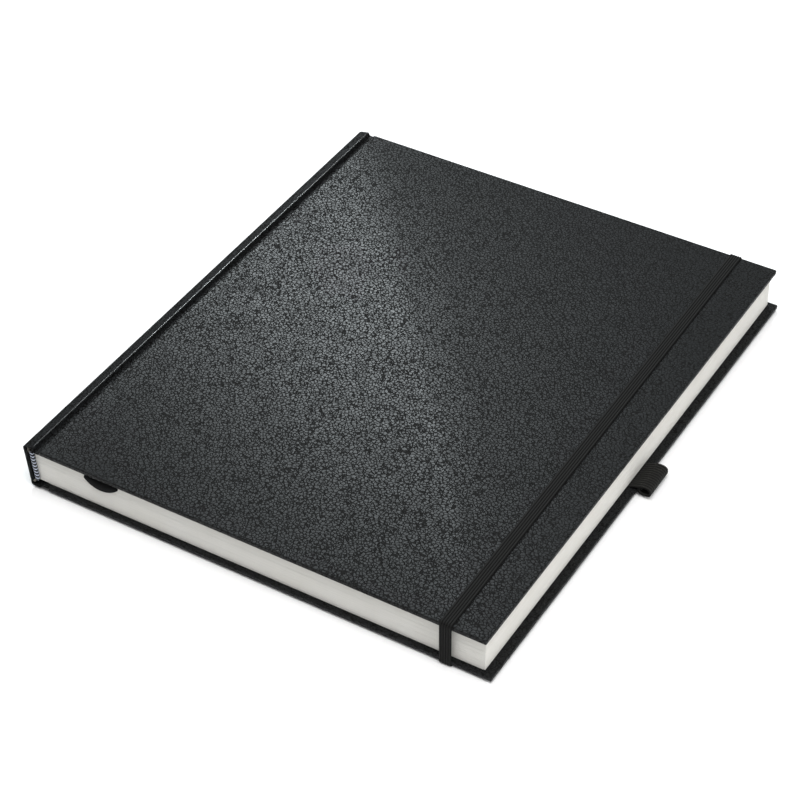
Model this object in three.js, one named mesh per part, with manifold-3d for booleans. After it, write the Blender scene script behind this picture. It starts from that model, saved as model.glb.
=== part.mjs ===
// Case-bound sketchbook with an elastic closure, a ribbon marker and a pen loop.
// Millimetres. While it is being built, X runs from the spine to the fore edge, Y from the
// tail to the head, Z up from the outside of the back cover. The whole group is then moved
// so that the origin is at the middle of the object's footprint, on the surface it lies on.
import * as THREE from 'three';
import { mergeVertices } from 'three/addons/utils/BufferGeometryUtils.js';
import Module from 'manifold-3d';

const wasm = await Module();
wasm.setup();

// ---------- driving dimensions ----------
const COVER_W = 215;          // a cover with its spine strip, spine to fore edge
const COVER_H = 260;          // tail to head
const THICK = 20.6;           // back cover's outside to front cover's outside
const SKEW = 1.7;             // how far the spine leans
const BACK_SHIFT = 2.4;       // the back cover stands this much further out at the fore edge
const CLOTH = 0.3;            // covering material
const BOARD = 1.3;            // cover board
const TURN_IN = 15;           // covering folded over the inside of a board
const COVER_T = 2.0;          // covered board, without its pastedown
const PASTEDOWN = 0.15;
const GROOVE_X = 7.75;        // where the front board's edge starts
const SPINE_BOARD = 0.7;

const PAGE_X0 = 3.4;          // folds of the sections
const PAGE_X1 = 213.4;        // fore edge of the leaves
const PAGE_Y0 = 2.5;          // tail edge of the leaves
const PAGE_Y1 = 257.5;        // head edge
const LEAF_FROM = 7.8;        // where a turning leaf bends free of its glued or sewn strip
const SECTIONS = 8;
const FLYLEAF = 0.2;
const BLOCK_Z0 = 2.3;         // underside of the back flyleaf
const BLOCK_Z1 = 18.3;        // top of the front flyleaf
const RIBBON_GAP = 0.34;      // room for the ribbon under the first section

const BAND_W = 5.5;           // elastic closure
const BAND_T = 0.65;
const BAND_X_TAIL = 197.7;    // middle of the band at the tail edge
const BAND_X_HEAD = 195.4;    // and at the head edge: it lies a little aslant
const BAND_SLOT_Y = 12;       // slots in the back cover, from the tail and the head edges

const LOOP_Y0 = 120, LOOP_Y1 = 136.6;   // pen loop along the fore edge
const LOOP_CX = 220.9, LOOP_CZ = 3.65, LOOP_A = 3.1, LOOP_B = 3.35, LOOP_T = 0.5;

const RIBBON_W = 6;
const EPS = 0.05;             // room between sheets that lie on each other

// ---------- colours ----------
const BLACK_CLOTH = { color: 0x1b1b1c, roughness: 0.5, metalness: 0 };
const BOARD_GREY = { color: 0x8d877c, roughness: 0.95, metalness: 0 };
const PAPER = { color: 0xe9e6dd, roughness: 0.9, metalness: 0 };
const ENDPAPER = { color: 0xf1efe9, roughness: 0.85, metalness: 0 };
const ELASTIC = { color: 0x161617, roughness: 0.8, metalness: 0 };
const RIBBON = { color: 0x121213, roughness: 0.6, metalness: 0 };
const BANDS = { color: 0x6f7380, roughness: 0.8, metalness: 0 };
const MULL = { color: 0xd8d2c2, roughness: 0.95, metalness: 0 };
const THREAD = { color: 0xe6e1d2, roughness: 0.8, metalness: 0 };

// ---------- helpers ----------
function box(x0, x1, y0, y1, z0, z1) {
  const g = new THREE.BoxGeometry(x1 - x0, y1 - y0, z1 - z0);
  g.translate((x0 + x1) / 2, (y0 + y1) / 2, (z0 + z1) / 2);
  return g;
}

// A closed outline in X and Z, pushed along Y.
function alongY(points, y0, y1) {
  const shape = new THREE.Shape(points.map(([x, z]) => new THREE.Vector2(x, z)));
  const g = new THREE.ExtrudeGeometry(shape, { depth: y1 - y0, bevelEnabled: false, steps: 1 });
  g.rotateX(Math.PI / 2);
  g.translate(0, y1, 0);
  return g;
}

// A closed outline in X and Y, pushed along Z.
function alongZ(points, z0, z1) {
  const shape = new THREE.Shape(points.map(([x, y]) => new THREE.Vector2(x, y)));
  const g = new THREE.ExtrudeGeometry(shape, { depth: z1 - z0, bevelEnabled: false, steps: 1 });
  g.translate(0, 0, z0);
  return g;
}

// A board-shaped plate with softly rounded corners and edges.
function plate(x0, x1, y0, y1, z0, z1, r, edge) {
  const s = new THREE.Shape();
  const a = x0 + edge, b = x1 - edge, c = y0 + edge, d = y1 - edge;
  s.moveTo(a + r, c);
  s.lineTo(b - r, c);
  s.absarc(b - r, c + r, r, -Math.PI / 2, 0, false);
  s.lineTo(b, d - r);
  s.absarc(b - r, d - r, r, 0, Math.PI / 2, false);
  s.lineTo(a + r, d);
  s.absarc(a + r, d - r, r, Math.PI / 2, Math.PI, false);
  s.lineTo(a, c + r);
  s.absarc(a + r, c + r, r, Math.PI, Math.PI * 1.5, false);
  const g = new THREE.ExtrudeGeometry(s, {
    depth: z1 - z0 - 2 * edge, bevelEnabled: true, bevelThickness: edge, bevelSize: edge,
    bevelSegments: 3, curveSegments: 6, steps: 1,
  });
  g.translate(0, 0, z0 + edge);
  return g;
}

function solid(geometry) {
  const g = geometry.clone();
  g.deleteAttribute('normal');
  g.deleteAttribute('uv');
  const m = mergeVertices(g, 1e-4);
  return new wasm.Manifold(new wasm.Mesh({
    numProp: 3,
    vertProperties: Float32Array.from(m.attributes.position.array),
    triVerts: Uint32Array.from(m.index.array),
  }));
}

function geometryOf(manifold) {
  const mesh = manifold.getMesh();
  const g = new THREE.BufferGeometry();
  const xyz = new Float32Array(mesh.numVert * 3);
  for (let i = 0; i < mesh.numVert; i++)
    for (let k = 0; k < 3; k++) xyz[3 * i + k] = mesh.vertProperties[i * mesh.numProp + k];
  g.setAttribute('position', new THREE.BufferAttribute(xyz, 3));
  g.setIndex(Array.from(mesh.triVerts));
  const flat = g.toNonIndexed();
  flat.computeVertexNormals();
  return flat;
}

function cut(geometry, ...tools) {
  let m = solid(geometry);
  for (const t of tools) m = m.subtract(solid(t));
  return geometryOf(m);
}

function join(geometry, ...others) {
  let m = solid(geometry);
  for (const t of others) m = m.add(solid(t));
  return geometryOf(m);
}

const book = new THREE.Group();
function piece(name, geometry, look) {
  const mesh = new THREE.Mesh(geometry, new THREE.MeshStandardMaterial(look));
  mesh.name = name;
  book.add(mesh);
  return mesh;
}

// ---------- back cover ----------
const BACK_X0 = GROOVE_X + BACK_SHIFT, BACK_X1 = COVER_W + BACK_SHIFT;
const bandAt = (y) => BAND_X_TAIL + (BAND_X_HEAD - BAND_X_TAIL) * y / COVER_H;
const tailX = bandAt(0), headX = bandAt(COVER_H);
const half = BAND_W / 2;
const slotTools = [
  box(tailX - half - 0.3, tailX + half + 0.3, BAND_SLOT_Y - BAND_T - 0.3, BAND_SLOT_Y + 0.3, -1, 4),
  box(headX - half - 0.3, headX + half + 0.3, COVER_H - BAND_SLOT_Y - 0.3, COVER_H - BAND_SLOT_Y + BAND_T + 0.3, -1, 4),
];
// shallow recesses under the pastedown for the glued ends of the elastic and of the pen loop
const recessTools = [
  box(tailX - half - 0.3, tailX + half + 0.3, BAND_SLOT_Y - 0.3, 34, 1.15, 4),
  box(headX - half - 0.3, headX + half + 0.3, COVER_H - 34, COVER_H - BAND_SLOT_Y + 0.3, 1.15, 4),
  box(190, 225, LOOP_Y0 - 0.3, LOOP_Y1 + 0.3, 0.65, 4),
];
const IN = CLOTH + EPS;        // from the outside of a cover to its board
const backBoardBox = [BACK_X0 + IN, BACK_X1 - IN, IN, COVER_H - IN, IN, IN + BOARD];
piece('back_board', cut(box(...backBoardBox), ...slotTools, ...recessTools), BOARD_GREY);
piece('back_cover_cloth', cut(
  plate(BACK_X0, BACK_X1, 0, COVER_H, 0, COVER_T, 0.5, 0.4),
  box(BACK_X0 + CLOTH, BACK_X1 - CLOTH, CLOTH, COVER_H - CLOTH, CLOTH, IN + BOARD + EPS),
  box(BACK_X0 - 5, BACK_X1 - TURN_IN, TURN_IN, COVER_H - TURN_IN, CLOTH + 0.8, 5),
  ...slotTools, ...recessTools), BLACK_CLOTH);
piece('back_pastedown', box(BACK_X0 - 1, BACK_X1 - 3.4, PAGE_Y0, PAGE_Y1, COVER_T + EPS, COVER_T + EPS + PASTEDOWN), ENDPAPER);

// ---------- front cover ----------
const FZ = (z) => THICK - z;   // a height counted down from the outside of the front cover
piece('front_board', box(GROOVE_X + IN, COVER_W - IN, IN, COVER_H - IN, FZ(IN + BOARD), FZ(IN)), BOARD_GREY);
piece('front_cover_cloth', cut(
  plate(GROOVE_X, COVER_W, 0, COVER_H, FZ(COVER_T), THICK, 0.5, 0.4),
  box(GROOVE_X + CLOTH, COVER_W - CLOTH, CLOTH, COVER_H - CLOTH, FZ(IN + BOARD + EPS), FZ(CLOTH)),
  box(GROOVE_X - 5, COVER_W - TURN_IN, TURN_IN, COVER_H - TURN_IN, FZ(5), FZ(CLOTH + 0.8))), BLACK_CLOTH);
piece('front_pastedown', box(GROOVE_X + 0.2, COVER_W - 3.2, PAGE_Y0, PAGE_Y1, FZ(COVER_T + EPS + PASTEDOWN), FZ(COVER_T + EPS)), ENDPAPER);

// ---------- spine ----------
// Outer line of the covering: front groove, shoulder, spine, shoulder, back groove.
const outer = [
  [7.45, 19.15], [6.5, 18.85], [5.6, 19.1], [4.9, 20.1], [4.0, 20.5], [1.2, THICK], [0.35, 20.3], [0.02, 19.6],
  [SKEW - 0.02, 1.0], [SKEW + 0.35, 0.3], [SKEW + 1.2, 0], [5.7, 0.1], [6.6, 0.4], [7.4, 1.35], [8.5, 1.6], [9.85, 1.35],
];
const inner = [
  [9.7, 1.75], [8.5, 1.98], [7.1, 1.7], [6.3, 0.78], [5.6, 0.5], [SKEW + 1.3, 0.4], [SKEW + 0.65, 0.65], [SKEW + 0.4, 1.2],
  [0.42, 19.4], [0.65, 19.95], [1.3, THICK - 0.4], [3.85, 20.08], [4.55, 19.8], [5.25, 18.85], [6.5, 18.42], [7.45, 18.72],
];
piece('spine_cloth', alongY([...outer, ...inner].reverse(), 0.3, COVER_H - 0.3), BLACK_CLOTH);
// Stiffener inside the spine's covering, leaning as the spine leans.
piece('spine_board', alongY([
  [0.55, 19.3], [SKEW + 0.47, 1.3], [SKEW + 0.47 + SPINE_BOARD, 1.3], [0.55 + SPINE_BOARD, 19.3],
], 1, COVER_H - 1), BOARD_GREY);
piece('spine_mull', box(2.98, 3.1, 15, COVER_H - 15, 3.0, 17.8), MULL);
piece('sewing_thread', join(
  box(3.15, 3.33, 20, 240, 10.1, 10.4),
  ...[20, 62, 66, 108, 112, 148, 152, 194, 198, 239.6].map((y) => box(3.15, 3.33, y, y + 0.4, 3.2, 17.6))), THREAD);

// Striped bands at both ends of the spine: a bead over the ends of the folds.
const bead = (y0, y1) => {
  const p = [];
  for (let i = 0; i < 16; i++) {
    const a = i / 16 * Math.PI * 2;
    p.push([3.8 + 0.8 * Math.cos(a), (y0 + y1) / 2 + (y1 - y0) / 2 * Math.sin(a)]);
  }
  // it leans with the spine
  const g = alongZ(p, 3.4, 17.6), pos = g.attributes.position;
  for (let i = 0; i < pos.count; i++) pos.setX(i, pos.getX(i) - 1.4 * (pos.getZ(i) - 3.4) / 14.2);
  return g;
};
piece('tailband', bead(0.65, 2.45), BANDS);
piece('headband', bead(257.55, 259.35), BANDS);

// ---------- text block ----------
const LEAF_T = (BLOCK_Z1 - BLOCK_Z0 - 2 * (FLYLEAF + EPS) - RIBBON_GAP) / SECTIONS;
// A folded section: its spine edge is rounded by the fold.
const section = (x0, x1, z0, z1, folded) => alongY(folded ? [
  [x0 + 0.45, z0], [x1, z0], [x1, z1], [x0 + 0.45, z1], [x0 + 0.12, z1 - 0.3], [x0, (z0 + z1) / 2], [x0 + 0.12, z0 + 0.3],
] : [[x0, z0], [x1, z0], [x1, z1], [x0, z1]], PAGE_Y0, PAGE_Y1);
let z = BLOCK_Z0;
piece('back_flyleaf', box(PAGE_X0, PAGE_X1, PAGE_Y0, PAGE_Y1, z, z + FLYLEAF), ENDPAPER);
z += FLYLEAF + EPS;
for (let n = SECTIONS; n >= 2; n--) {
  piece(`section_${n}`, section(PAGE_X0, PAGE_X1, z, z + LEAF_T - EPS, true), PAPER);
  z += LEAF_T;
}
const RIBBON_Z = z;
z += RIBBON_GAP;
const TOP_Z0 = z, TOP_Z1 = z + LEAF_T - EPS;
piece('section_1_fold', section(PAGE_X0, LEAF_FROM - 0.35, TOP_Z0, TOP_Z1, true), PAPER);
piece('section_1_leaves', section(LEAF_FROM, PAGE_X1, TOP_Z0, TOP_Z1, false), PAPER);
z += LEAF_T;
piece('front_endpaper_fold', box(PAGE_X0, LEAF_FROM - 0.35, PAGE_Y0, PAGE_Y1, z, z + FLYLEAF), ENDPAPER);
piece('front_flyleaf', box(LEAF_FROM, PAGE_X1, PAGE_Y0, PAGE_Y1, z, z + FLYLEAF), ENDPAPER);

// ---------- ribbon marker ----------
// It runs aslant over the second section, from the head of the spine to the tail edge.
const r0 = [6.2, 256.9], r1 = [36.5, 2.9];
const rl = Math.hypot(r1[0] - r0[0], r1[1] - r0[1]);
const rn = [-(r1[1] - r0[1]) / rl * RIBBON_W / 2, (r1[0] - r0[0]) / rl * RIBBON_W / 2];
piece('ribbon_marker', alongZ([
  [r0[0] - rn[0], r0[1] - rn[1]], [r1[0] - rn[0], r1[1] - rn[1]], [r1[0] + rn[0], r1[1] + rn[1]], [r0[0] + rn[0], r0[1] + rn[1]],
], RIBBON_Z + 0.04, RIBBON_Z + 0.28), RIBBON);
// Its end curls out over the tail edge and down.
piece('ribbon_end', (() => {
  const s = new THREE.Shape();
  const pts = [[28.8, 2.2], [30.6, 1.3], [34.2, 0.3], [38, 0], [41.6, 0.5], [45.1, 2.2]];
  s.moveTo(...pts[0]);
  for (const p of pts.slice(1)) s.lineTo(...p);
  const g = new THREE.ExtrudeGeometry(s, { depth: 0.3, bevelEnabled: false, steps: 1 });
  g.translate(0, 0, RIBBON_Z);
  // fold the sheet down beyond the edge of the leaves
  const pos = g.attributes.position;
  for (let i = 0; i < pos.count; i++) {
    const y = pos.getY(i);
    const d = Math.max(0, 2.2 - y);
    pos.setZ(i, pos.getZ(i) - 1.3 * d);
  }
  g.computeVertexNormals();
  return g;
})(), RIBBON);

// ---------- elastic closure ----------
const BAND_Z = THICK + EPS;
const slant = (BAND_X_HEAD - BAND_X_TAIL) / COVER_H;
piece('band_front_run', alongZ([
  [tailX - half - slant * 0.8, -0.75], [tailX + half - slant * 0.8, -0.75],
  [headX + half + slant * 0.8, COVER_H + 0.75], [headX - half + slant * 0.8, COVER_H + 0.75],
], BAND_Z, BAND_Z + BAND_T), ELASTIC);
piece('band_tail_leg', box(tailX - half, tailX + half, -0.75, -0.1, 0.0, BAND_Z - EPS), ELASTIC);
piece('band_head_leg', box(headX - half, headX + half, COVER_H + 0.1, COVER_H + 0.75, 0.0, BAND_Z - EPS), ELASTIC);
// The ends run under the back cover, up through a slot and flat under the pastedown.
piece('band_tail_end', join(
  box(tailX - half, tailX + half, -0.75, BAND_SLOT_Y, -0.05 - BAND_T, -0.05),
  box(tailX - half, tailX + half, BAND_SLOT_Y - BAND_T, BAND_SLOT_Y, -0.05 - BAND_T, 1.9),
  box(tailX - half, tailX + half, BAND_SLOT_Y - BAND_T, 32, 1.25, 1.9)), ELASTIC);
piece('band_head_end', join(
  box(headX - half, headX + half, COVER_H - BAND_SLOT_Y, COVER_H + 0.75, -0.05 - BAND_T, -0.05),
  box(headX - half, headX + half, COVER_H - BAND_SLOT_Y, COVER_H - BAND_SLOT_Y + BAND_T, -0.05 - BAND_T, 1.9),
  box(headX - half, headX + half, COVER_H - 32, COVER_H - BAND_SLOT_Y + BAND_T, 1.25, 1.9)), ELASTIC);

// ---------- pen loop ----------
// A tube of flat elastic, round-cornered in section, on a doubled tab glued under the pastedown.
const ring = (a, b) => {
  const p = [];
  for (let i = 0; i < 32; i++) {
    const t = i / 32 * Math.PI * 2, c = Math.cos(t), s = Math.sin(t);
    p.push([LOOP_CX + a * Math.sign(c) * Math.abs(c) ** (2 / 3), LOOP_CZ + b * Math.sign(s) * Math.abs(s) ** (2 / 3)]);
  }
  return p;
};
piece('pen_loop', cut(
  alongY(ring(LOOP_A, LOOP_B), LOOP_Y0, LOOP_Y1),
  alongY(ring(LOOP_A - LOOP_T, LOOP_B - LOOP_T), LOOP_Y0 - 1, LOOP_Y1 + 1)), ELASTIC);
piece('pen_loop_tab', box(192, LOOP_CX - LOOP_A - 0.3, LOOP_Y0 + 0.2, LOOP_Y1 - 0.2, 0.75, 1.95), ELASTIC);

// ---------- origin ----------
// The footprint runs from the spine to the pen loop and over the band's two legs.
const minZ = -0.05 - BAND_T;
book.position.set(-(0.02 + LOOP_CX + LOOP_A) / 2, -COVER_H / 2, -minZ);
const sketchbook = new THREE.Group();
sketchbook.add(book);
sketchbook.updateMatrixWorld(true);
export default sketchbook;
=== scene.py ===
import bpy, bmesh, math, random
from mathutils import Vector, Matrix


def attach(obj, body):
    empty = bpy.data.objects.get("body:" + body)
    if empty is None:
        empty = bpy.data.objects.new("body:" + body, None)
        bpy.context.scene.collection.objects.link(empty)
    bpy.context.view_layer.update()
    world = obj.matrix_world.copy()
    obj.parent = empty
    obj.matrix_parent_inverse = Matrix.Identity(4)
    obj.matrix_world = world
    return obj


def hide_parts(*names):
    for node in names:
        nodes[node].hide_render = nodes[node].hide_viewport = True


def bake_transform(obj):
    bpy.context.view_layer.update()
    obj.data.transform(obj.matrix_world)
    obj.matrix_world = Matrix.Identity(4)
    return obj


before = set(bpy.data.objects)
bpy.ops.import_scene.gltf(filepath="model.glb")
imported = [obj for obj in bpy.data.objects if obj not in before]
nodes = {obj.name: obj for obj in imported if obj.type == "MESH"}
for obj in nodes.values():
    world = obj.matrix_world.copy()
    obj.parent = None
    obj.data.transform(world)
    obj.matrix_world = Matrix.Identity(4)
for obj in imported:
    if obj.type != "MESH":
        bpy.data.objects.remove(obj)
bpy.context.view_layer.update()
rng = random.Random(7)

# ---------------------------------------------------------------- frame and camera
# Book millimetres: x from the spine, y from the tail, z from the back cover. The row frame is metres.
OX, OY, OZ = 112.01, 130.0, -0.70
COVER_W, COVER_H, THICK, SHIFT = 215.0, 260.0, 20.6, 2.4
ROOT = "back_case_and_block"


def P(x, y, z):
    return Vector(((x - OX) / 1000, (y - OY) / 1000, (z - OZ) / 1000))


scene = bpy.context.scene
cam_data = bpy.data.cameras.new("camera")
cam = bpy.data.objects.new("camera", cam_data)
scene.collection.objects.link(cam)
RIGHT = Vector((0.8575795444829835, 0.5142730790839033, -0.008973573085467285))
DOWN = Vector((0.3296372521331219, -0.5629140832195985, -0.7579360242917365))
FORWARD = Vector((-0.3948374436277333, 0.6470324064856415, -0.652267167705777))
cam.matrix_world = Matrix((
    (RIGHT.x, -DOWN.x, -FORWARD.x, 0.3935231674710996),
    (RIGHT.y, -DOWN.y, -FORWARD.y, -0.6651929598607255),
    (RIGHT.z, -DOWN.z, -FORWARD.z, 0.6629497006456979),
    (0, 0, 0, 1),
))
cam_data.sensor_width = 36
cam_data.lens = 2384.994 / 800 * 36
cam_data.clip_start = 0.01
scene.camera = cam


# ---------------------------------------------------------------- mesh helpers
def new_mesh(name, verts, faces, mat, smooth=True, angle=None):
    me = bpy.data.meshes.new(name)
    me.from_pydata([tuple(v) for v in verts], [], faces)
    me.validate()
    bm = bmesh.new()
    bm.from_mesh(me)
    bmesh.ops.recalc_face_normals(bm, faces=bm.faces)
    bm.to_mesh(me)
    bm.free()
    me.materials.append(mat)
    for p in me.polygons:
        p.use_smooth = smooth
    if smooth and angle is not None:
        me.set_sharp_from_angle(angle=math.radians(angle))
    o = bpy.data.objects.new(name, me)
    scene.collection.objects.link(o)
    return o


def loft(rings, closed=True, caps=True):
    """Rings of the same number of points -> vertices and faces. Each ring is a closed loop."""
    n = len(rings[0])
    verts = [v for r in rings for v in r]
    faces = []
    for i in range(len(rings) - 1):
        for j in range(n if closed else n - 1):
            a, b = i * n + j, i * n + (j + 1) % n
            faces.append((a, b, b + n, a + n))
    if caps:
        faces.append(tuple(range(n))[::-1])
        faces.append(tuple(range((len(rings) - 1) * n, len(rings) * n)))
    return verts, faces


def rounded_plan(x0, x1, y0, y1, r, seg=6, inset=0.0):
    """Outline of a rectangle with corner radii r = (tail-spine, tail-fore, head-fore, head-spine)."""
    x0, x1, y0, y1 = x0 + inset, x1 - inset, y0 + inset, y1 - inset
    pts = []
    for (cx, cy, a0, rr) in (
        (x0, y0, 180, r[0]), (x1, y0, 270, r[1]), (x1, y1, 0, r[2]), (x0, y1, 90, r[3])):
        rr = max(rr - inset, 0.05)
        sx = 1 if cx == x0 else -1
        sy = 1 if cy == y0 else -1
        for k in range(seg + 1):
            a = math.radians(a0 + 90 * k / seg)
            pts.append((cx + sx * rr + rr * math.cos(a), cy + sy * rr + rr * math.sin(a)))
    return pts


def densify(pts, step):
    out = []
    n = len(pts)
    for i in range(n):
        a, b = pts[i], pts[(i + 1) % n]
        d = math.hypot(b[0] - a[0], b[1] - a[1])
        k = max(1, int(d / step))
        for j in range(k):
            t = j / k
            out.append((a[0] + (b[0] - a[0]) * t, a[1] + (b[1] - a[1]) * t))
    return out


def slab(name, x0, x1, y0, y1, z0, z1, r, e0, e1, mat, seg=5, wobble=0.0):
    """A covered board: rounded corners in plan, its lower and upper edges rounded by e0 and e1."""
    levels = []
    for k in range(seg + 1):
        a = math.pi / 2 * k / seg
        levels.append((e0 * (1 - math.sin(a)), z0 + e0 * (1 - math.cos(a))))
    for k in range(seg + 1):
        a = math.pi / 2 * k / seg
        levels.append((e1 * (1 - math.cos(a)), z1 - e1 * (1 - math.sin(a))))
    base = densify(rounded_plan(x0, x1, y0, y1, r), 4.0)
    cx, cy = (x0 + x1) / 2, (y0 + y1) / 2
    rings = []
    wob = [rng.uniform(-1, 1) for _ in base]
    wob = [sum(wob[(i + k) % len(base)] for k in range(-3, 4)) / 7 for i in range(len(base))]
    # an inset of the plan, keeping the same number of points
    for inset, z in levels:
        ring = []
        for i, (x, y) in enumerate(base):
            a, b = base[i - 1], base[(i + 1) % len(base)]
            tx, ty = b[0] - a[0], b[1] - a[1]
            l = math.hypot(tx, ty) or 1
            nx, ny = -ty / l, tx / l  # inward, as the outline runs anticlockwise
            w = inset + wobble * wob[i]
            ring.append(P(x + nx * w, y + ny * w, z))
        rings.append(ring)
    v, f = loft(rings)
    return new_mesh(name, v, f, mat, True, 35)


def spline(points, per=6):
    """Catmull-Rom through 2D points."""
    out = []
    n = len(points)
    for i in range(n - 1):
        p0 = points[max(i - 1, 0)]
        p1, p2 = points[i], points[i + 1]
        p3 = points[min(i + 2, n - 1)]
        for k in range(per):
            t = k / per
            out.append(tuple(
                0.5 * ((2 * p1[c]) + (-p0[c] + p2[c]) * t + (2 * p0[c] - 5 * p1[c] + 4 * p2[c] - p3[c]) * t * t
                       + (-p0[c] + 3 * p1[c] - 3 * p2[c] + p3[c]) * t ** 3) for c in (0, 1)))
    out.append(tuple(points[-1]))
    return out


def strip_profile(line, thick):
    """A line in x,z given a thickness on its right-hand side, as a closed profile."""
    back = []
    for i, (x, z) in enumerate(line):
        a, b = line[max(i - 1, 0)], line[min(i + 1, len(line) - 1)]
        tx, tz = b[0] - a[0], b[1] - a[1]
        l = math.hypot(tx, tz) or 1
        th = thick(x, z) if callable(thick) else thick
        back.append((x + tz / l * th, z - tx / l * th))
    return list(line) + back[::-1]


def along_y(name, profile, ys, mat, angle=40, pinch=None):
    """Profile in x,z swept along y. pinch(y) -> (shrink) pulls the profile in towards its own middle line at the ends."""
    n = len(profile)
    half = n // 2
    rings = []
    for y in ys:
        s = pinch(y) if pinch else 0.0
        ring = []
        for i, (x, z) in enumerate(profile):
            if s:
                j = n - 1 - i
                mx, mz = (x + profile[j][0]) / 2, (z + profile[j][1]) / 2
                x, z = x + (mx - x) * s, z + (mz - z) * s
            ring.append(P(x, y, z))
        rings.append(ring)
    v, f = loft(rings)
    return new_mesh(name, v, f, mat, True, angle)


def steps(a, b, n):
    return [a + (b - a) * i / n for i in range(n + 1)]


# ---------------------------------------------------------------- materials
def material(name):
    m = bpy.data.materials.new(name)
    m.use_nodes = True
    nt = m.node_tree
    for n in list(nt.nodes):
        nt.nodes.remove(n)
    out = nt.nodes.new("ShaderNodeOutputMaterial")
    bsdf = nt.nodes.new("ShaderNodeBsdfPrincipled")
    nt.links.new(bsdf.outputs["BSDF"], out.inputs["Surface"])
    return m, nt, bsdf


class G:
    """Short names for node making."""

    def __init__(self, nt):
        self.nt = nt
        self.co = nt.nodes.new("ShaderNodeTexCoord").outputs["Object"]

    def link(self, a, b):
        self.nt.links.new(a, b)

    def _set(self, socket, v):
        if isinstance(v, bpy.types.NodeSocket):
            self.link(v, socket)
        else:
            socket.default_value = v

    def math(self, op, a, b=0.0, c=None, clamp=False):
        n = self.nt.nodes.new("ShaderNodeMath")
        n.operation = op
        n.use_clamp = clamp
        self._set(n.inputs[0], a)
        self._set(n.inputs[1], b)
        if c is not None:
            self._set(n.inputs[2], c)
        return n.outputs[0]

    def noise(self, scale, detail=2.0, rough=0.5, vec=None, color=False, distortion=0.0):
        n = self.nt.nodes.new("ShaderNodeTexNoise")
        n.inputs["Scale"].default_value = scale
        n.inputs["Detail"].default_value = detail
        n.inputs["Roughness"].default_value = rough
        n.inputs["Distortion"].default_value = distortion
        self.link(vec if vec is not None else self.co, n.inputs["Vector"])
        return n.outputs["Color" if color else 0]

    def voronoi(self, scale, feature="F1", vec=None, rand=1.0, out="Distance"):
        n = self.nt.nodes.new("ShaderNodeTexVoronoi")
        n.feature = feature
        n.inputs["Scale"].default_value = scale
        n.inputs["Randomness"].default_value = rand
        self.link(vec if vec is not None else self.co, n.inputs["Vector"])
        return n.outputs[out]

    def vmul(self, a, s):
        n = self.nt.nodes.new("ShaderNodeVectorMath")
        n.operation = "MULTIPLY"
        self._set(n.inputs[0], a)
        n.inputs[1].default_value = s
        return n.outputs[0]

    def vadd(self, a, b):
        n = self.nt.nodes.new("ShaderNodeVectorMath")
        n.operation = "ADD"
        self._set(n.inputs[0], a)
        self._set(n.inputs[1], b)
        return n.outputs[0]

    def warp(self, amount, scale):
        """Coordinates pushed about by noise."""
        c = self.noise(scale, 2, color=True)
        c = self.vadd(c, (-0.5, -0.5, -0.5))
        return self.vadd(self.co, self.vmul(c, (amount,) * 3))

    def ramp(self, fac, stops, interp="LINEAR"):
        n = self.nt.nodes.new("ShaderNodeValToRGB")
        n.color_ramp.interpolation = interp
        while len(n.color_ramp.elements) < len(stops):
            n.color_ramp.elements.new(0.5)
        for e, (p, c) in zip(n.color_ramp.elements, stops):
            e.position = p
            e.color = c if len(c) == 4 else (*c, 1)
        self.link(fac, n.inputs[0])
        return n.outputs[0]

    def mix(self, fac, a, b, kind="MIX"):
        n = self.nt.nodes.new("ShaderNodeMix")
        n.data_type = "RGBA"
        n.blend_type = kind
        self._set(n.inputs[0], fac)
        self._set(n.inputs[6], a if isinstance(a, bpy.types.NodeSocket) else (*a, 1))
        self._set(n.inputs[7], b if isinstance(b, bpy.types.NodeSocket) else (*b, 1))
        return n.outputs[2]

    def maprange(self, v, a, b, c, d, smooth=False):
        n = self.nt.nodes.new("ShaderNodeMapRange")
        n.interpolation_type = "SMOOTHSTEP" if smooth else "LINEAR"
        self._set(n.inputs[0], v)
        for i, x in enumerate((a, b, c, d)):
            n.inputs[i + 1].default_value = x
        return n.outputs[0]

    def bump(self, height, distance, strength=1.0, normal=None):
        n = self.nt.nodes.new("ShaderNodeBump")
        n.inputs["Strength"].default_value = strength
        n.inputs["Distance"].default_value = distance
        self.link(height, n.inputs["Height"])
        if normal is not None:
            self.link(normal, n.inputs["Normal"])
        return n.outputs[0]

    def xyz(self, vec=None):
        n = self.nt.nodes.new("ShaderNodeSeparateXYZ")
        self.link(vec if vec is not None else self.co, n.inputs[0])
        return n.outputs


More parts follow.
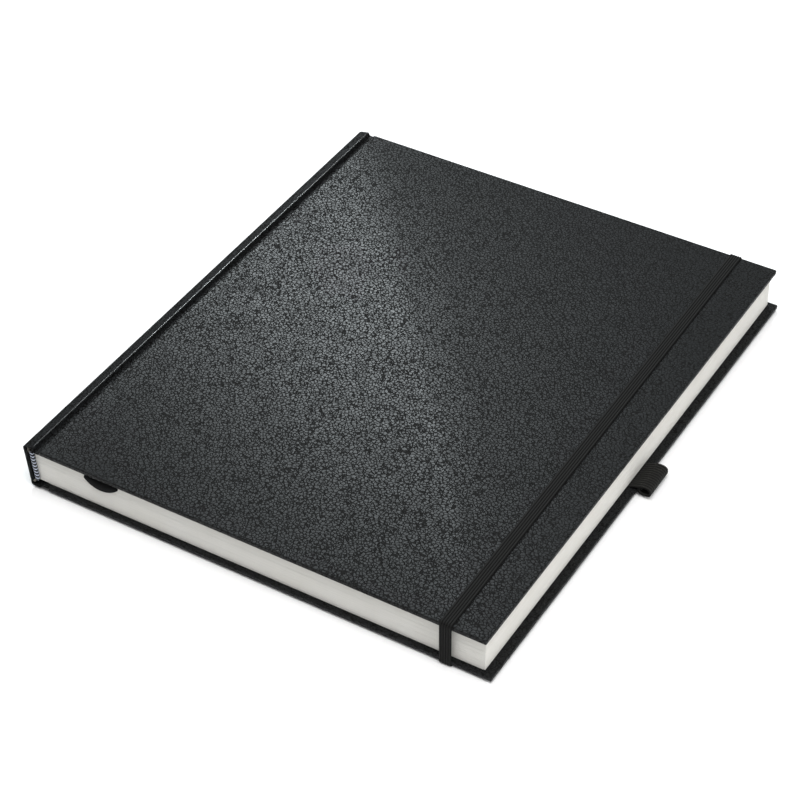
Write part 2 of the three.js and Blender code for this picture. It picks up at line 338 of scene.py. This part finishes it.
def leatherette(name, cell=0.00140, depth=0.00024, tint=1.0, polish=None, spec=0.15):
    """Pebble-embossed bookbinding leatherette: irregular, partly merged pillows between creases painted dark with
    shade and a little dust.
    """
    m, nt, b = material(name)
    g = G(nt)
    w = g.warp(0.0013, 480)
    edge = g.voronoi(1 / cell, "DISTANCE_TO_EDGE", w)
    pillow = g.maprange(edge, 0.03, 0.13, 0.0, 1.0, True)
    # some creases fade, so that pebbles join into worm shapes
    fade = g.maprange(g.noise(420, 2), 0.40, 0.60, 0.92, 1.0, True)
    crease = g.math("MULTIPLY", g.math("SUBTRACT", 1.0, pillow), fade)
    fine = g.noise(2600, 3, 0.6)
    lump = g.noise(760, 2)
    broad = g.noise(90, 2)
    h = g.math("SUBTRACT", 1.0, crease)
    h = g.math("ADD", h, g.math("MULTIPLY", g.math("SUBTRACT", fine, 0.5), 0.10))
    h = g.math("ADD", h, g.math("MULTIPLY", lump, 0.15))
    if polish:
        # a line of the surface pressed smooth by the bone folder
        px_, py_, pz_ = g.xyz()
        line = g.math("ABSOLUTE", g.math("SUBTRACT", px_, polish[0]))
        line = g.maprange(line, polish[1] * 0.5, polish[1], 1.0, 0.0, True)
        line = g.math("MULTIPLY", line, g.maprange(g.noise(160, 2), 0.3, 0.6, 0.5, 1.0))
        keep = g.math("SUBTRACT", 1.0, line)
        h = g.math("MULTIPLY", h, keep)
    n1 = g.bump(h, depth, 1.0)
    n2 = g.bump(g.noise(22, 2), 0.0012, 0.18, n1)
    g.link(n2, b.inputs["Normal"])
    # painted shade: the base colour falls nearly to black in the creases (1 - k), standing in for the shade that
    # falls there, with a little dust
    k = g.math("SUBTRACT", pillow, g.math("MULTIPLY", g.math("SUBTRACT", 0.54, lump), 0.12), clamp=True)
    top = (0.0126 * tint, 0.0136 * tint, 0.0143 * tint)
    crease_shade_and_dust = (0.0007 * tint, 0.0006 * tint, 0.0004 * tint)
    col = g.mix(k, crease_shade_and_dust, top)
    col = g.mix(g.maprange(broad, 0.3, 0.7, 0.0, 0.16), col, (0.0060 * tint, 0.0058 * tint, 0.0055 * tint))
    g.link(col, b.inputs["Base Color"])
    r = g.maprange(k, 0.0, 1.0, 0.72, 0.36)
    # each pebble is rubbed a little differently
    r = g.math("ADD", r, g.math("MULTIPLY", g.math("SUBTRACT", g.noise(820, 2), 0.5), 0.24))
    r = g.math("ADD", r, g.math("MULTIPLY", g.math("SUBTRACT", broad, 0.5), 0.12))
    if polish:
        r = g.math("SUBTRACT", r, g.math("MULTIPLY", line, g.math("SUBTRACT", r, 0.24)))
    g.link(r, b.inputs["Roughness"])
    b.inputs["Specular IOR Level"].default_value = spec
    return m


def burnished(name):
    """The covering where it is rubbed smooth: a thin line that shines unevenly along its length."""
    m, nt, b = material(name)
    g = G(nt)
    a = g.noise(140, 2)
    fine = g.noise(1900, 2)
    g.link(g.mix(fine, (0.006, 0.006, 0.006), (0.016, 0.0165, 0.017)), b.inputs["Base Color"])
    g.link(g.bump(fine, 0.00003, 0.5), b.inputs["Normal"])
    g.link(g.maprange(a, 0.35, 0.65, 0.16, 0.34), b.inputs["Roughness"])
    b.inputs["Specular IOR Level"].default_value = 0.8
    return m


def paper(name, color, streak=0.0, fibre=0.00002):
    m, nt, b = material(name)
    g = G(nt)
    tooth = g.noise(3800, 3, 0.65)
    cloud = g.noise(60, 3)
    col = g.mix(g.maprange(cloud, 0.3, 0.7, 0.0, 1.0), color, tuple(c * f for c, f in zip(color, (0.972, 0.968, 0.955))))
    if streak:
        lines = g.noise(1.0, 2, 0.5, vec=g.vmul(g.co, (14, 14, 5200)))
        k = g.maprange(lines, 0.35, 0.65, 0.0, streak)
        col = g.mix(k, col, tuple(c * 0.55 for c in color))
    g.link(col, b.inputs["Base Color"])
    h = g.math("ADD", tooth, g.math("MULTIPLY", g.noise(900, 2), 0.6))
    g.link(g.bump(h, fibre, 0.6), b.inputs["Normal"])
    g.link(g.maprange(tooth, 0.3, 0.7, 0.78, 0.92), b.inputs["Roughness"])
    b.inputs["Specular IOR Level"].default_value = 0.25
    return m


def webbing(name, along, pitch=0.00052, rib=None, color=(0.0052, 0.0052, 0.0049)):
    """Ribbed elastic: fine cross threads over the ribs that the mesh has."""
    m, nt, b = material(name)
    g = G(nt)
    x, y, z = g.xyz()
    axis = {"x": x, "y": y, "z": z}[along[0]]
    t = g.math("MULTIPLY", axis, 2 * math.pi / pitch)
    wob = g.math("MULTIPLY", g.noise(1500, 2), 3.0)
    weave = g.math("SINE", g.math("ADD", t, wob))
    fuzz = g.noise(5200, 3, 0.7)
    h = g.math("ADD", g.math("MULTIPLY", weave, 0.35), fuzz)
    g.link(g.bump(h, 0.00005, 0.9), b.inputs["Normal"])
    k = g.math("MULTIPLY_ADD", weave, 0.25, g.math("MULTIPLY", fuzz, 0.9), clamp=True)
    col = g.mix(k, tuple(c * 0.5 for c in color), tuple(c * 1.9 for c in color))
    if rib:
        # rib = (origin, drift of the origin with y, pitch, axis): painted highlight along the rib crests and painted
        # shade in the grooves between them
        o_, drift, step, ax = rib
        u = {"x": x, "y": y}[ax]
        u = g.math("SUBTRACT", u, g.math("MULTIPLY_ADD", y, drift, o_)) if drift else g.math("SUBTRACT", u, o_)
        s_ = g.math("ABSOLUTE", g.math("SUBTRACT", g.math("FRACT", g.math("MULTIPLY", u, 1 / step)), 0.5))
        col = g.mix(g.maprange(s_, 0.0, 0.2, 0.45, 0.0, True), col, tuple(c * 3.4 for c in color))
        col = g.mix(g.maprange(s_, 0.30, 0.44, 0.0, 1.0, True), col, tuple(c * 0.08 for c in color))
    g.link(col, b.inputs["Base Color"])
    g.link(g.maprange(fuzz, 0.3, 0.7, 0.55, 0.8), b.inputs["Roughness"])
    b.inputs["Specular IOR Level"].default_value = 0.10
    b.inputs["Sheen Weight"].default_value = 0.03
    b.inputs["Sheen Roughness"].default_value = 0.5
    return m


def satin(name):
    m, nt, b = material(name)
    g = G(nt)
    fine = g.noise(1.0, 2, 0.5, vec=g.vmul(g.co, (900, 9000, 900)))
    g.link(g.mix(fine, (0.0012, 0.0012, 0.0013), (0.0045, 0.0045, 0.0048)), b.inputs["Base Color"])
    g.link(g.bump(fine, 0.00003, 0.7), b.inputs["Normal"])
    g.link(g.maprange(fine, 0.3, 0.7, 0.42, 0.58), b.inputs["Roughness"])
    b.inputs["Specular IOR Level"].default_value = 0.14
    return m


def striped(name):
    """Headband: black and blue-white threads wound round a core, slanting with the winding."""
    m, nt, b = material(name)
    g = G(nt)
    x, y, z = g.xyz()
    ph = g.math("ADD", g.math("MULTIPLY", z, 1 / 0.0015), g.math("MULTIPLY", x, 330))
    ph = g.math("ADD", ph, g.math("MULTIPLY", g.noise(900, 2), 0.22))
    fr = g.math("FRACT", ph)
    s = g.maprange(g.math("ABSOLUTE", g.math("SUBTRACT", fr, 0.5)), 0.335, 0.385, 0.0, 1.0, True)
    thread = g.math("SINE", g.math("MULTIPLY", ph, 2 * math.pi * 4))
    col = g.mix(s, (0.006, 0.006, 0.010), (0.66, 0.72, 0.86))
    col = g.mix(g.maprange(thread, -1, 1, 0.0, 0.18), col, (0.02, 0.025, 0.04))
    g.link(col, b.inputs["Base Color"])
    g.link(g.bump(g.math("ADD", thread, g.noise(4000, 2)), 0.00004, 0.8), b.inputs["Normal"])
    g.link(g.maprange(g.noise(2500, 2), 0.3, 0.7, 0.5, 0.75), b.inputs["Roughness"])
    return m


def board_mat(name):
    m, nt, b = material(name)
    g = G(nt)
    f = g.noise(1400, 4, 0.7)
    fleck = g.maprange(g.noise(700, 2), 0.6, 0.72, 0.0, 0.6)
    col = g.mix(f, (0.20, 0.185, 0.16), (0.33, 0.31, 0.27))
    col = g.mix(fleck, col, (0.10, 0.09, 0.08))
    g.link(col, b.inputs["Base Color"])
    g.link(g.bump(f, 0.00006, 0.8), b.inputs["Normal"])
    g.link(g.maprange(f, 0.3, 0.7, 0.85, 0.98), b.inputs["Roughness"])
    return m


def woven(name, color, pitch=0.0009):
    m, nt, b = material(name)
    g = G(nt)
    x, y, z = g.xyz()
    a = g.math("SINE", g.math("MULTIPLY", y, 2 * math.pi / pitch))
    c = g.math("SINE", g.math("MULTIPLY", z, 2 * math.pi / pitch))
    w = g.math("MAXIMUM", a, c)
    f = g.noise(3000, 3)
    h = g.math("ADD", w, f)
    g.link(g.mix(g.maprange(w, -0.4, 1, 0, 1), tuple(q * 0.5 for q in color), color), b.inputs["Base Color"])
    g.link(g.bump(h, 0.00008, 0.8), b.inputs["Normal"])
    g.link(g.maprange(f, 0.3, 0.7, 0.8, 0.95), b.inputs["Roughness"])
    return m


M_COVER = leatherette("cover_leatherette")
# The spine's copy of the covering is painted lighter (tint 1.25) with less shine: painted light on the spine strip
# and the front joint, which are the cover's own leatherette.
M_SPINE = leatherette("spine_leatherette", cell=0.00125, depth=0.00018, tint=1.25, spec=0.05, polish=((4.5 - OX) / 1000, 0.00035))
M_RIDGE = burnished("ridge_burnish")
M_LEAF = paper("leaf_paper", (0.765, 0.752, 0.716), streak=0.15)
M_END = paper("end_paper", (0.815, 0.803, 0.77), streak=0.15)
M_BAND = webbing("band_elastic", "y", rib=((197.7 - 2.675 - OX) / 1000 - 2.3 / 2000, -2.3 / 260, 0.00107, "x"))
# The pen loop is the band's black elastic painted twice as light: painted light where its top catches the lamps.
M_LOOP = webbing("loop_elastic", "x", pitch=0.0005, color=(0.0105, 0.0104, 0.0096), rib=((120.0 - OY) / 1000, 0.0, 0.0166 / 12, "y"))
M_RIBBON = satin("ribbon_satin")
M_STRIPE = striped("headband_thread")
M_BOARD = board_mat("grey_board")
M_MULL = woven("mull_weave", (0.62, 0.58, 0.50))
M_THREAD = woven("linen_thread", (0.70, 0.67, 0.58), 0.0005)

for n in ("back_board", "front_board", "spine_board"):
    nodes[n].data.materials.clear()
    nodes[n].data.materials.append(M_BOARD)
for n, m in (("spine_mull", M_MULL), ("sewing_thread", M_THREAD)):
    nodes[n].data.materials.clear()
    nodes[n].data.materials.append(m)

# ---------------------------------------------------------------- covers
GX = 7.75
front = slab("front_cover", GX, COVER_W, 0, COVER_H, THICK - 2.02, THICK, (0.6, 0.55, 0.55, 0.5), 0.4, 0.45, M_COVER, wobble=0.05)
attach(front, "front_cover")
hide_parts("front_cover_cloth")

back = slab("back_cover", GX + SHIFT, COVER_W + SHIFT, 0, COVER_H, 0, 2.0, (0.7, 0.5, 0.5, 0.6), 0.6, 0.4, M_COVER, wobble=0.05)
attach(back, ROOT)
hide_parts("back_cover_cloth")

# Spine: from the ridge beside the front groove, over the shoulder, down the leaning spine and into the back groove.
SPINE_LINE = spline([
    (5.1, 19.8), (5.0, 20.65), (4.84, 21.08), (4.62, 21.22), (4.34, 21.23), (4.1, 21.17), (2.6, 20.86), (0.95, 20.5), (0.12, 20.15), (-0.3, 19.4),
    (0.1, 15.8), (0.8, 9.0), (1.36, 3.0), (1.66, 1.1), (2.05, 0.42), (2.9, 0.06), (4.6, 0.02), (5.9, 0.15),
    (6.7, 0.6), (7.5, 1.3), (8.5, 1.58), (9.9, 1.4), (10.5, 0.9)], 6)
def spine_thick(x, z):
    """The covering alone over the shoulders; with the stiffener and its turned-in ends down the spine itself."""
    if x > 3.4:
        return 0.42
    a, b_ = max(0.0, min(1.0, (z - 1.2) / 1.6)), max(0.0, min(1.0, (20.3 - z) / 1.2))
    return 0.42 + 1.05 * (a * a * (3 - 2 * a)) * (b_ * b_ * (3 - 2 * b_))


spine = along_y("spine_cover", strip_profile(SPINE_LINE[::-1], spine_thick),
                [0.0, 0.05, 0.2, 0.45] + steps(0.8, 259.2, 60) + [259.55, 259.8, 259.95, 260.0], M_SPINE,
                pinch=lambda y: max(0.0, 1 - math.sqrt(max(0.0, 1 - (1 - min(y, 260 - y) / 0.45) ** 2))) * 0.9 if min(y, 260 - y) < 0.45 else 0.0)
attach(spine, ROOT)
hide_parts("spine_cloth")

# Front joint: the covering between the spine's ridge and the front board, which bends as the cover opens.
JOINT_LINE = spline([(4.7, 20.5), (5.05, 19.95), (5.35, 19.3), (5.85, 19.03), (6.5, 18.96), (7.1, 19.03), (7.65, 19.3), (8.1, 19.65)], 6)
joint = along_y("front_joint", strip_profile(JOINT_LINE, 0.34), steps(0.15, 259.85, 60), M_SPINE)
for v_ in joint.data.vertices:
    # at the head the turned-in covering fills the groove
    t_ = max(0.0, (v_.co.y * 1000 + OY - 253.0) / 7.0)
    v_.co.z += 0.0008 * t_ * t_
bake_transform(joint)

# The crest of the ridge is burnished by the folder.
ridge = along_y("ridge_line", [(4.5 + 0.24 * math.cos(a), 21.06 + 0.24 * math.sin(a)) for a in [k / 12 * 2 * math.pi for k in range(12)]],
                steps(1.2, 258.8, 90), M_RIDGE)
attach(ridge, ROOT)

# ---------------------------------------------------------------- paper
EPS = 0.05
BLOCK_Z0, BLOCK_Z1, FLY = 2.3, 18.3, 0.2
SECTIONS, RIBBON_GAP = 8, 0.34
LEAF_T = (BLOCK_Z1 - BLOCK_Z0 - 2 * (FLY + EPS) - RIBBON_GAP) / SECTIONS


def leaves(name, x0, z0, z1, count, mat, bend=False, jitter=0.045, y0=2.5, y1=257.5, x1=213.4, sag=0.0):
    """A stack of single leaves, each a thin closed sheet, its edges a hair in or out of line with its neighbours'."""
    verts, faces = [], []
    t = (z1 - z0) / count
    if bend:
        xs = steps(x0, 4.6, 2) + steps(4.6, 9.2, 26)[1:] + steps(9.2, 40, 4)[1:] + steps(40, x1, 3)[1:]
    else:
        xs = [x0, x0 + 0.25, 60, 130, x1 - 0.02, x1]
    for k in range(count):
        za, zb = z0 + k * t + 0.006, z0 + (k + 1) * t - 0.006
        j1, j2, j3 = (rng.uniform(-jitter, jitter * 0.4) for _ in range(3))
        base = len(verts)
        fold = 0.25 * abs((k + 0.5) / count * 2 - 1) ** 2 + 1.15 - 1.75 * ((za + zb) / 2 - BLOCK_Z0) / 16
        for i, x in enumerate(xs):
            xx = x + (fold if i == 0 else 0) + (j1 if i >= len(xs) - 2 else 0)
            for (y, z) in ((y0 - j2, za), (y1 + j3, za), (y1 + j3, zb), (y0 - j2, zb)):
                verts.append(P(xx, y, z))
        n = len(xs)
        for i in range(n - 1):
            a = base + i * 4
            for q in range(4):
                faces.append((a + q, a + (q + 1) % 4, a + 4 + (q + 1) % 4, a + 4 + q))
        faces.append((base, base + 3, base + 2, base + 1))
        e = base + (n - 1) * 4
        faces.append((e, e + 1, e + 2, e + 3))
    return new_mesh(name, verts, faces, mat, False)


z = BLOCK_Z0
fly_b = leaves("back_flyleaf_sheet", 3.4, z, z + FLY, 1, M_END)
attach(fly_b, ROOT)
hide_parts("back_flyleaf")
z += FLY + EPS
for n in range(SECTIONS, 1, -1):
    s = leaves(f"section_{n}_leaves", 3.4, z - 0.01, z + LEAF_T - EPS + 0.03, 10, M_LEAF)
    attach(s, ROOT)
    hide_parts(f"section_{n}")
    z += LEAF_T
RIBBON_Z = z
z += RIBBON_GAP
s1 = leaves("section_1_sheets", 3.4, z - 0.02, z + LEAF_T - EPS + 0.02, 10, M_LEAF, bend=True)
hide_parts("section_1_fold", "section_1_leaves")
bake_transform(s1)
z += LEAF_T
fly_f = leaves("front_flyleaf_sheet", 3.4, z, z + FLY, 1, M_END, bend=True)
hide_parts("front_endpaper_fold", "front_flyleaf")
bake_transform(fly_f)


def pastedown(name, x0, x1, z_face, up, hinge, mat):
    """Endpaper glued over the turned-in covering: a step shows where the turn-in ends under it."""
    xs = (steps(4.7, 9.0, 20) if hinge else [x0]) + [x0 + 6, x0 + 9] + steps(x0 + 12, x1 - 17, 10) + [x1 - 13.6, x1 - 12.9, x1 - 12.2, x1 - 6, x1]
    xs = sorted(set(round(v, 4) for v in xs if v >= (4.7 if hinge else x0)))
    ys = [2.5, 6, 10, 14.4, 15.0, 15.6, 20] + steps(26, 234, 8) + [240, 244.4, 245.0, 245.6, 250, 254, 257.5]
    t = 0.1

    def h(x, y):
        d = min(y - 0, 260 - y, (x1 + 3.3) - x)
        return 0.10 if d < 14.8 else (0.0 if d > 15.3 else 0.10 * (15.3 - d) / 0.5)
    verts, faces = [], []
    for face in (0, 1):
        for x in xs:
            for y in ys:
                off = h(x, y) + t * face
                verts.append(P(x, y, z_face + (off if up else -off)))
    nx, ny = len(xs), len(ys)
    for face in (0, 1):
        o = face * nx * ny
        for i in range(nx - 1):
            for j in range(ny - 1):
                a = o + i * ny + j
                q = (a, a + 1, a + ny + 1, a + ny)
                faces.append(q if face else q[::-1])
    o = nx * ny
    for i in range(nx - 1):
        for j in (0, ny - 1):
            a, b = i * ny + j, (i + 1) * ny + j
            faces.append((a, b, b + o, a + o))
    for j in range(ny - 1):
        for i in (0, nx - 1):
            a, b = i * ny + j, i * ny + j + 1
            faces.append((a, b, b + o, a + o))
    return new_mesh(name, verts, faces, mat, True, 30)


pd_f = pastedown("front_pastedown_sheet", GX + 0.2, COVER_W - 3.2, THICK - 2.02, False, True, M_END)
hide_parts("front_pastedown")
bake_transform(pd_f)
pd_b = pastedown("back_pastedown_sheet", GX + SHIFT - 1, 212.6, 2.01, True, False, M_END)
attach(pd_b, ROOT)
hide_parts("back_pastedown")


# ---------------------------------------------------------------- headbands
def headband(name, y_mid, sign, node):
    """A wound bead that leans with the spine, with a ripple for each turn of thread."""
    rings = []
    N = 120
    for k in range(N + 1):
        f = k / N
        zz = 2.6 + (17.95 - 2.6) * f
        cx = 4.3 - 1.6 * (zz - 2.6) / 15.4
        rip = 1 + 0.05 * math.sin(zz / 0.375 * 2 * math.pi)
        end = min(1.0, 0.35 + 6 * min(f, 1 - f) * 2)
        ring = []
        for j in range(18):
            a = j / 18 * 2 * math.pi
            rx, ry = 0.98 * rip * end, 0.95 * rip * end
            ring.append(P(cx + rx * math.cos(a), y_mid + ry * math.sin(a), zz))
        rings.append(ring)
    v, f = loft(rings)
    o = new_mesh(name, v, f, M_STRIPE, True, 60)
    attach(o, ROOT)
    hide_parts(node)
    return o


headband("tail_band_bead", 1.5, -1, "tailband")
headband("head_band_bead", 258.5, 1, "headband")


# ---------------------------------------------------------------- elastic band
def ribbed_section(width, ribs, base, height, per=5):
    """Closed outline (u across, v outward): a flat back and a ribbed face."""
    pitch = width / ribs
    pts = []
    for r in range(ribs):
        for k in range(per):
            t = k / per
            u = -width / 2 + (r + t) * pitch
            v = base / 2 + height * math.sin(math.pi * t) ** 0.8
            pts.append((u, v))
    pts.append((width / 2, base / 2))
    for r in range(ribs):
        for k in range(per):
            t = k / per
            u = width / 2 - (r + t) * pitch
            v = -base / 2 - height * 0.5 * math.sin(math.pi * t) ** 0.8
            pts.append((u, v))
    pts.append((-width / 2, -base / 2))
    return pts


def sweep_yz(path, section, xc, taper=None):
    rings = []
    n = len(path)
    for i, (y, zz) in enumerate(path):
        a, b = path[max(i - 1, 0)], path[min(i + 1, n - 1)]
        ty, tz = b[0] - a[0], b[1] - a[1]
        l = math.hypot(ty, tz)
        ny, nz = -tz / l, ty / l
        s = taper(i, n) if taper else 1.0
        ring = [P(xc(y) + u * s, y + v * ny, zz + v * nz) for u, v in section]
        rings.append(ring)
    return rings


def arc(cy, cz, r, a0, a1, n):
    return [(cy + r * math.cos(math.radians(a0 + (a1 - a0) * i / n)), cz + r * math.sin(math.radians(a0 + (a1 - a0) * i / n))) for i in range(n + 1)]


XT, XH = 197.7, 195.4
bx = lambda y: XT + (XH - XT) * max(0.0, min(1.0, y / COVER_H))
OUT = 0.36                         # middle of the band's thickness, outside the covers
TOP_Z, BOT_Z = THICK + OUT, -OUT
RB, RT = 1.0, 1.25                 # how tightly it turns round the back and front covers' edges
path = [(11.7, 1.7), (11.7, 1.0), (11.65, 0.3)] + arc(11.1, BOT_Z + 0.55, 0.55, 0, -90, 4)[1:]
path += [(y, BOT_Z) for y in (9, 6, 3.5)]
path += arc(RB - OUT, BOT_Z + RB, RB, 270, 180, 7)
path += [(-OUT, zz) for zz in steps(BOT_Z + RB, TOP_Z - RT, 14)[1:-1]]
path += arc(RT - OUT, TOP_Z - RT, RT, 180, 90, 9)
half_path = path
path = half_path + [(y, TOP_Z) for y in steps(4, 256, 84)] + [(COVER_H - y, zz) for y, zz in half_path[::-1]]


def band_pinch(i, n):
    y, zz = path[i]
    # the elastic draws in a little where it turns round the covers' edges
    return 0.985 if 0 < zz < THICK else 1.0


band = sweep_yz(path, ribbed_section(5.35, 5, 0.34, 0.27), bx, band_pinch)
v, f = loft(band)
band = new_mesh("closure_band", v, f, M_BAND, True, 50)
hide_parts("band_front_run", "band_tail_leg", "band_head_leg", "band_tail_end", "band_head_end")
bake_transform(band)

# ---------------------------------------------------------------- pen loop
LCX, LCZ, LA, LB, LT = 220.9, 2.65, 3.1, 2.35, 0.65
LY0, LY1 = 120.0, 136.6
RIBS = 12


def loop_profile(y):
    """How far the elastic's outside stands out at y: a rib for every 1.5 mm, and edges that round off."""
    t = (y - LY0) / (LY1 - LY0)
    rib = 0.26 * abs(math.sin(math.pi * t * RIBS)) ** 0.8
    e = min(y - LY0, LY1 - y)
    edge = 0.0 if e > 0.35 else 0.32 * (1 - math.sqrt(max(0.0, 1 - (1 - e / 0.35) ** 2)))
    return rib - edge


LYM = (LY0 + LY1) / 2
ys = [LY0 + (LY1 - LY0) * k / (RIBS * 8) for k in range(RIBS * 8 + 1)]
angles = [i / 56 * 2 * math.pi for i in range(56)]


def loop_point(a, y, off):
    c, s_ = math.cos(a), math.sin(a)
    # soft sag: the free side hangs a little lower, and the mouth at the tail side opens wider
    sx = math.copysign(abs(c) ** (2 / 2.7), c)
    sz = math.copysign(abs(s_) ** (2 / 2.7), s_)
    t = (y - LY0) / (LY1 - LY0)
    ax = LA - 0.3 + off + 0.10 * (1 - t)
    az = LB - 0.2 + off - 0.16 * math.sin(math.pi * t)
    return P(LCX + ax * sx, y, LCZ + az * sz - 0.18 * max(0.0, c) * (0.4 + 0.6 * t))


verts, faces = [], []
nA, nY = len(angles), len(ys)
for face in (0, 1):
    for y in ys:
        for a in angles:
            off = loop_profile(y) if face == 0 else -LT + 0.1 - 0.3 * loop_profile(y)
            verts.append(loop_point(a, y, off))
for face in (0, 1):
    o = face * nA * nY
    for j in range(nY - 1):
        for i in range(nA):
            a, b = o + j * nA + i, o + j * nA + (i + 1) % nA
            faces.append((a, b, b + nA, a + nA))
o = nA * nY
for j in (0, nY - 1):
    for i in range(nA):
        a, b = j * nA + i, j * nA + (i + 1) % nA
        faces.append((a, b, b + o, a + o))
loop = new_mesh("pen_loop_elastic", verts, faces, M_LOOP, True, 70)
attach(loop, "pen_loop")
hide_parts("pen_loop")

# its doubled tab, which goes in over the back cover's edge and under the pastedown
rings = []
for x in steps(193, 213, 4) + steps(214, 220.2, 14):
    lift = 0.0 if x < 214 else 2.3 * (1 - (1 - (x - 214) / 6.2) ** 2) ** 0.9
    ring = []
    for y in ys[::2]:
        yy = LYM + (y - LYM) * 0.99
        ring.append(P(x, yy, 2.05 + lift + loop_profile(y)))
    for y in ys[::2][::-1]:
        yy = LYM + (y - LYM) * 0.99
        ring.append(P(x, yy, 0.9 + lift * 0.98 + 0.5 * min(1.0, lift)))
    rings.append(ring)
v, f = loft(rings)
tab = new_mesh("pen_loop_tab_elastic", v, f, M_LOOP, True, 60)
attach(tab, ROOT)
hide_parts("pen_loop_tab")

# ---------------------------------------------------------------- ribbon
r0, r1 = (6.2, 256.9), (36.6, 2.7)
d = Vector((r1[0] - r0[0], r1[1] - r0[1], 0))
nrm = Vector((-d.y, d.x, 0)).normalized()
rings = []
for k in range(61):
    t = k / 60
    c = Vector((r0[0], r0[1], 0)) + d * t
    ripple = 0.03 * math.sin(t * 9)
    ring = []
    for q in range(9):
        u = (q / 8 - 0.5) * 6
        e = 1 - 0.25 * (abs(u) / 3) ** 6
        p_ = c + nrm * (u + 0.15 * math.sin(t * 14))
        ring.append(P(p_.x, p_.y, RIBBON_Z + 0.16 + ripple + 0.1 * e))
    for q in range(8, -1, -1):
        u = (q / 8 - 0.5) * 6
        e = 1 - 0.25 * (abs(u) / 3) ** 6
        p_ = c + nrm * (u + 0.15 * math.sin(t * 14))
        ring.append(P(p_.x, p_.y, RIBBON_Z + 0.16 + ripple - 0.1 * e))
    rings.append(ring)
v, f = loft(rings)
ribbon = new_mesh("ribbon_strip", v, f, M_RIBBON, True, 50)
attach(ribbon, ROOT)
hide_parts("ribbon_marker")

# the end rolls out over the tail edge and curls down
verts, faces = [], []
NU, NV = 36, 10
for face in (0, 1):
    for i in range(NU + 1):
        t = i / NU
        x = 28.6 + 16.6 * t
        depth = 2.6 * math.sin(math.pi * (0.07 + 0.88 * t)) ** 0.7
        for j in range(NV + 1):
            w = j / NV
            a = w * 1.25
            r = depth / 1.25
            y = 2.5 - 1.0 * r * math.sin(a)
            zz = RIBBON_Z + 0.2 - 1.25 * r * (1 - math.cos(a)) - 0.55 * depth * w + 0.05 * math.sin(t * 11 + w * 2)
            off = 0.12 * (1 if face else -1)
            verts.append(P(x + 0.9 * w * math.sin(t * 3.1), y - off * 0.7 * w, zz + off * (1 - 0.4 * w)))
n1 = (NU + 1) * (NV + 1)
idx = lambda face, i, j: face * n1 + i * (NV + 1) + j
for face in (0, 1):
    for i in range(NU):
        for j in range(NV):
            q = (idx(face, i, j), idx(face, i + 1, j), idx(face, i + 1, j + 1), idx(face, i, j + 1))
            faces.append(q)
for i in range(NU):
    for j in (0, NV):
        faces.append((idx(0, i, j), idx(0, i + 1, j), idx(1, i + 1, j), idx(1, i, j)))
for j in range(NV):
    for i in (0, NU):
        faces.append((idx(0, i, j), idx(0, i, j + 1), idx(1, i, j + 1), idx(1, i, j)))
rend = new_mesh("ribbon_curl", verts, faces, M_RIBBON, True, 60)
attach(rend, "ribbon_tail")
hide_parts("ribbon_end")

# ---------------------------------------------------------------- stage
m_floor, nt, b = material("floor_pale")
g = G(nt)
g.link(g.mix(g.noise(3, 2), (0.90, 0.90, 0.90), (0.925, 0.925, 0.925)), b.inputs["Base Color"])
b.inputs["Roughness"].default_value = 0.95
b.inputs["Specular IOR Level"].default_value = 0.1
bm = bmesh.new()
bmesh.ops.create_grid(bm, x_segments=4, y_segments=4, size=6)
me = bpy.data.meshes.new("floor")
bm.to_mesh(me)
bm.free()
me.materials.append(m_floor)
floor = bpy.data.objects.new("floor", me)
floor.location = (0, 0, -0.0002)
scene.collection.objects.link(floor)

world = bpy.data.worlds.new("studio")
scene.world = world
world.use_nodes = True
bg = world.node_tree.nodes["Background"]
bg.inputs[0].default_value = (1.0, 1.0, 1.0, 1)
bg.inputs[1].default_value = 0.22


def area(name, loc, target, size, size_y, power, color=(1, 1, 1)):
    l = bpy.data.lights.new(name, "AREA")
    l.shape = "RECTANGLE"
    l.size, l.size_y = size, size_y
    l.energy = power
    l.color = color
    o = bpy.data.objects.new(name, l)
    o.location = loc
    o.rotation_euler = (Vector(target) - Vector(loc)).to_track_quat("-Z", "Y").to_euler()
    scene.collection.objects.link(o)
    return o


# The key is a long softbox beyond the head, where the cover mirrors it to the camera along a slanting band.
KEY = P(-550, 1020, 920)
key = area("key_softbox", KEY, P(80, 150, 20.6), 0.62, 0.16, 15.0, (0.90, 0.975, 1.0))
z_axis = (KEY - P(80, 150, 20.6)).normalized()          # an area light shines along its own -Z
x_axis = P(-257, 943, 920) - P(-700, 1230, 920)
y_axis = z_axis.cross(x_axis).normalized()
x_axis = y_axis.cross(z_axis).normalized()
key.rotation_euler = Matrix((x_axis, y_axis, z_axis)).transposed().to_euler()
area("overhead", (0.32, -0.42, 1.7), (0, 0, 0), 1.3, 1.3, 29.0)
area("right_fill", (1.5, -0.35, 0.75), (0.05, 0, 0), 0.9, 0.7, 8.7)

scene.view_settings.view_transform = "Standard"
scene.view_settings.look = "None"
